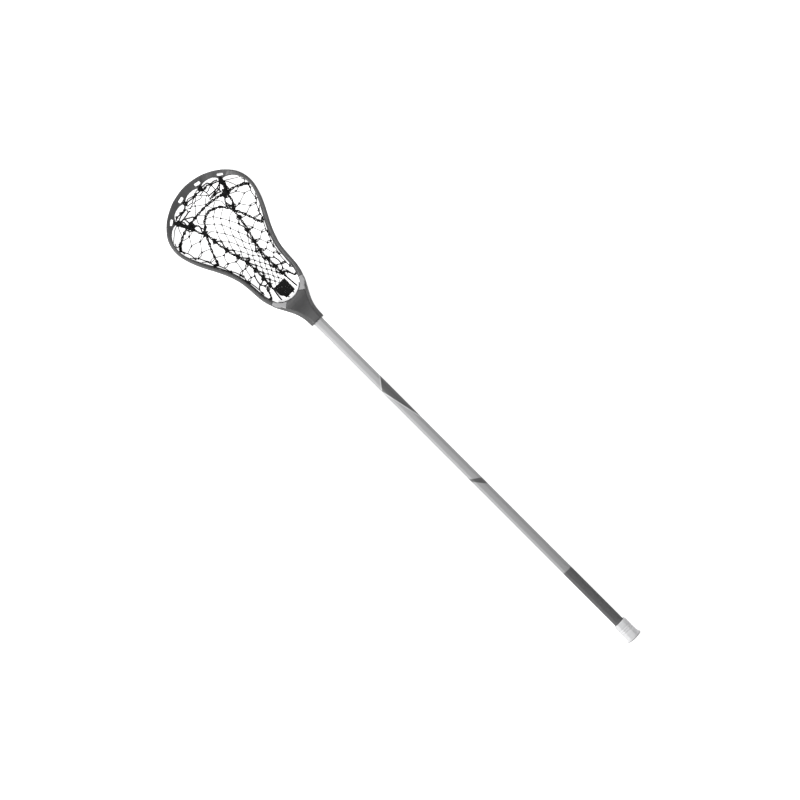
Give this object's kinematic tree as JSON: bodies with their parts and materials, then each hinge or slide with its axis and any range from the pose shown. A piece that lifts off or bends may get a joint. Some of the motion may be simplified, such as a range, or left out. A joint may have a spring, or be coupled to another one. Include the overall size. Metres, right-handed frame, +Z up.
{
  "type": "lacrosse stick",
  "caption": "Women's field lacrosse stick: moulded head with a strung net pocket on a straight eight-sided shaft with a rubber butt cap.",
  "frame": {"origin": "under the middle of the stick's length, on the surface that it lies on", "axes": "+X along the shaft towards the head's tip, +Z up out of the pocket's open face, +Y to the left when looking towards the head from above"},
  "size_m": [1.092, 0.1808, 0.0412],
  "materials": {
    "head_plastic": "dark grey moulded nylon, satin",
    "inlay_plastic": "light grey moulded inlay, satin",
    "stop_foam": "closed-cell foam, matt",
    "shaft_composite": "painted carbon composite, satin, with dark bands and a dark grip section",
    "screw_steel": "zinc-plated",
    "cap_rubber": "soft moulded rubber, matt",
    "pocket_cord": "twisted nylon cord",
    "lace_cord": "thick braided lace"
  },
  "bodies": {
    "stick": {"head_frame": "head_plastic", "corner_inlay_left": "inlay_plastic", "corner_inlay_right": "inlay_plastic", "ball_stop_pad": "stop_foam", "shaft": "shaft_composite", "throat_screw": "screw_steel", "channel_mesh": "pocket_cord", "wing_mesh_left": "pocket_cord", "wing_mesh_right": "pocket_cord", "pocket_weave": "pocket_cord", "top_string": "pocket_cord", "sidewall_string_left": "pocket_cord", "sidewall_string_right": "pocket_cord", "shooting_string_straight": "pocket_cord", "shooting_string_u": "pocket_cord", "runner_left": "pocket_cord", "runner_right": "pocket_cord", "bottom_lace_left_inner": "lace_cord", "bottom_lace_left_outer": "lace_cord", "bottom_lace_right_inner": "lace_cord", "bottom_lace_right_outer": "lace_cord", "scoop_lashing_left_inner": "lace_cord", "scoop_lashing_left_outer": "lace_cord", "scoop_lashing_right_inner": "lace_cord", "scoop_lashing_right_outer": "lace_cord"},
    "cap": {"butt_cap": "cap_rubber"}
  },
  "joints": [
    {"name": "cap_pull", "type": "slide", "parent": "stick", "child": "cap", "axis": [-1, 0, 0], "range_m": [0, 0.045]}
  ]
}
